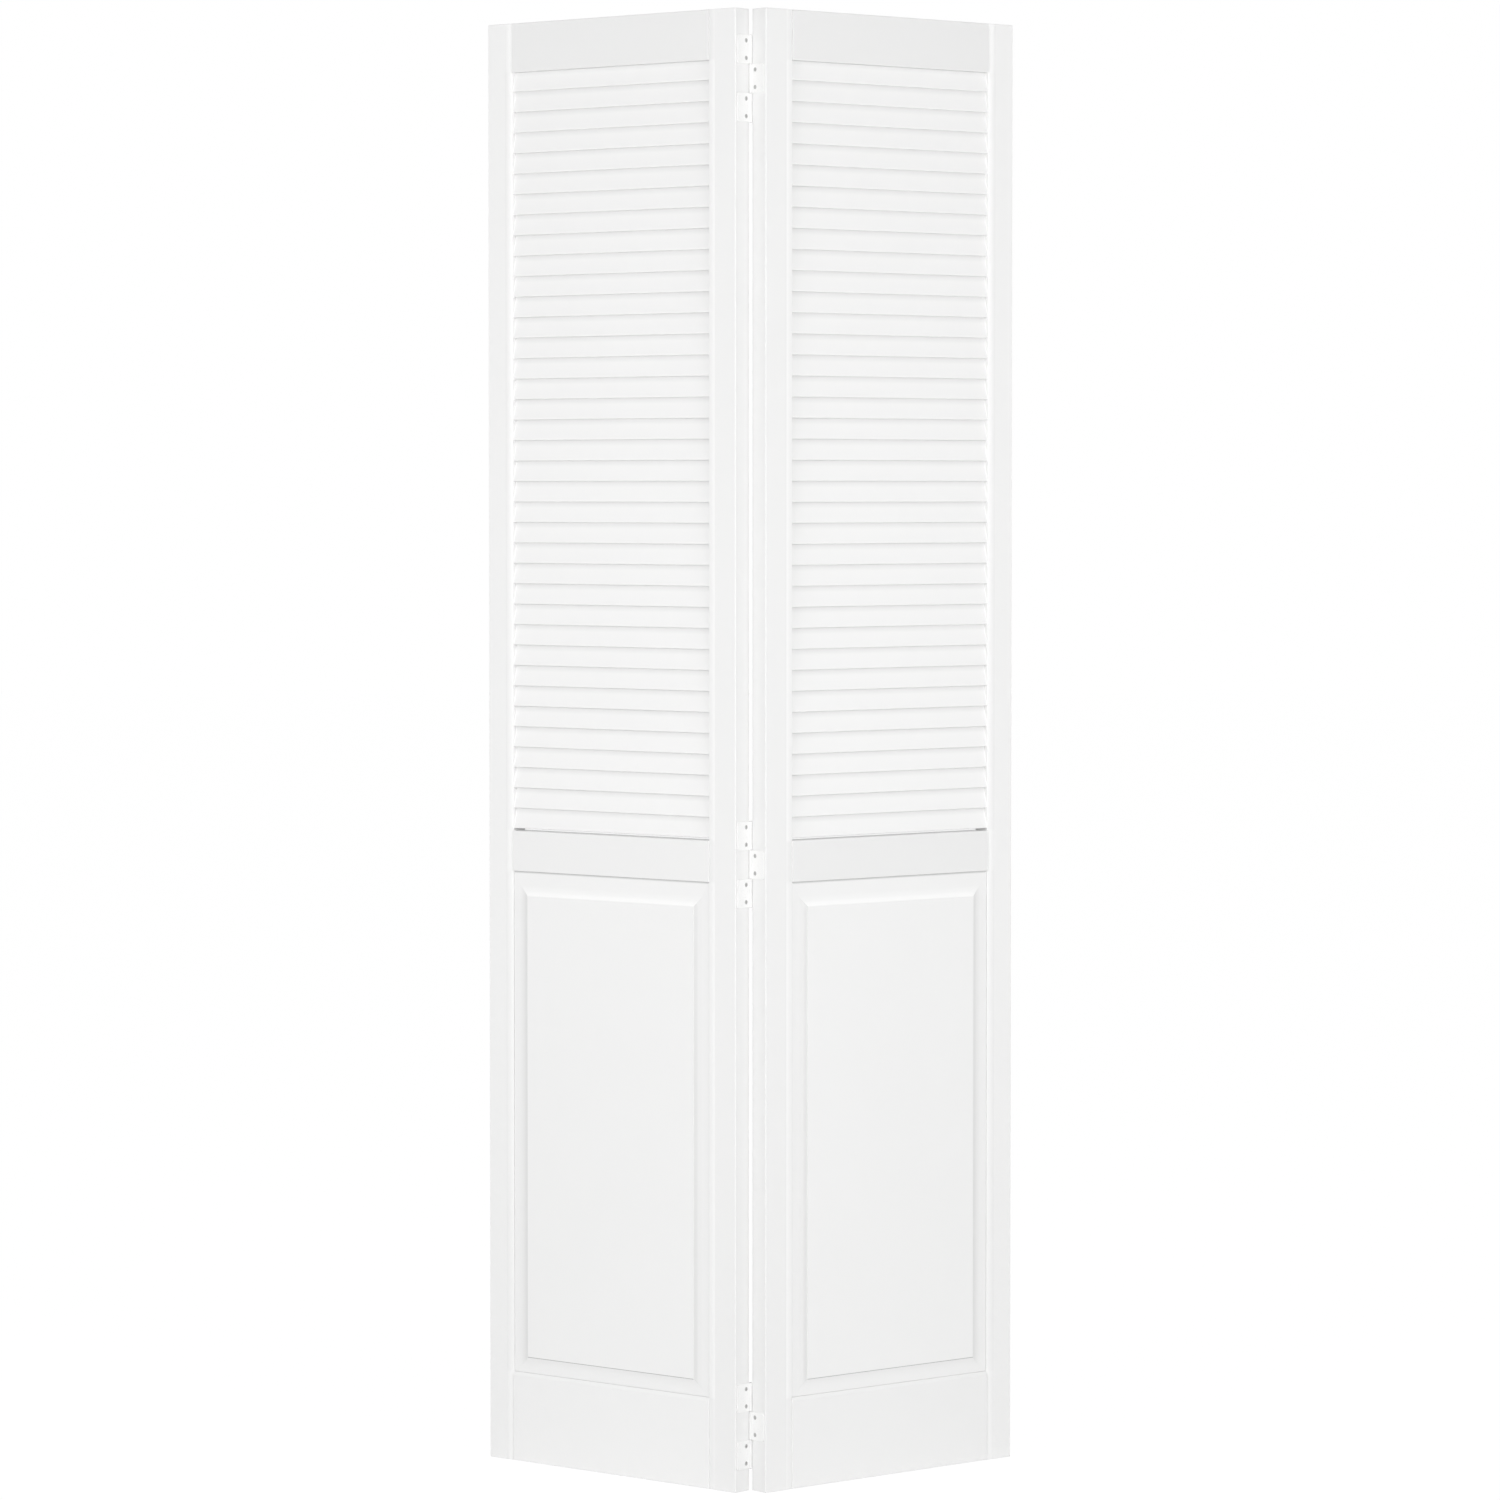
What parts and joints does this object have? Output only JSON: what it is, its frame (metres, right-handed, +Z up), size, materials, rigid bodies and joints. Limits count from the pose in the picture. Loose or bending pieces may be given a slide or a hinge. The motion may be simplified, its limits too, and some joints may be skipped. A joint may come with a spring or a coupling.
{
  "type": "bifold closet door",
  "caption": "Folding wooden closet door: leaves louvred above and panelled below, joined edge to edge by hinges, shown part folded.",
  "frame": {"origin": "under the middle of the door's box, on the plane of the leaves' lower ends", "axes": "+Z up along the stiles, +X to the right as seen from the room, -Y toward the room, where the fold's apex points"},
  "size_m": [0.7308, 0.3108, 2.0066],
  "materials": {
    "painted_wood": "white semi-gloss paint over wood",
    "bare_wood": "unpainted hardwood dowel, hidden in the joints",
    "hinge_enamel": "white enamel on pressed steel",
    "pin_steel": "white enamel on a steel pin",
    "screw_steel": "white enamelled heads with bare steel cross recesses"
  },
  "bodies": {
    "left_leaf": {"left_outer_stile": "painted_wood", "left_hinge_stile": "painted_wood", "left_top_rail": "painted_wood", "left_middle_rail": "painted_wood", "left_bottom_rail": "painted_wood", "left_raised_panel": "painted_wood", "left_louvre_slats": "painted_wood", "left_top_rail_dowels": "bare_wood", "left_middle_rail_dowels": "bare_wood", "left_bottom_rail_dowels": "bare_wood", "top_hinge_upper_tab": "hinge_enamel", "top_hinge_lower_tab": "hinge_enamel", "top_hinge_pin": "pin_steel", "top_hinge_left_screws": "screw_steel", "middle_hinge_upper_tab": "hinge_enamel", "middle_hinge_lower_tab": "hinge_enamel", "middle_hinge_pin": "pin_steel", "middle_hinge_left_screws": "screw_steel", "bottom_hinge_upper_tab": "hinge_enamel", "bottom_hinge_lower_tab": "hinge_enamel", "bottom_hinge_pin": "pin_steel", "bottom_hinge_left_screws": "screw_steel"},
    "right_leaf": {"right_outer_stile": "painted_wood", "right_hinge_stile": "painted_wood", "right_top_rail": "painted_wood", "right_middle_rail": "painted_wood", "right_bottom_rail": "painted_wood", "right_raised_panel": "painted_wood", "right_louvre_slats": "painted_wood", "right_top_rail_dowels": "bare_wood", "right_middle_rail_dowels": "bare_wood", "right_bottom_rail_dowels": "bare_wood", "top_hinge_middle_tab": "hinge_enamel", "top_hinge_right_screws": "screw_steel", "middle_hinge_middle_tab": "hinge_enamel", "middle_hinge_right_screws": "screw_steel", "bottom_hinge_middle_tab": "hinge_enamel", "bottom_hinge_right_screws": "screw_steel"}
  },
  "joints": [
    {"name": "leaf_fold", "type": "hinge", "parent": "left_leaf", "child": "right_leaf", "pos_m": [0, -0.13295, 1.0033], "axis": [0, 0, 1], "range_deg": [-80, 100]}
  ]
}
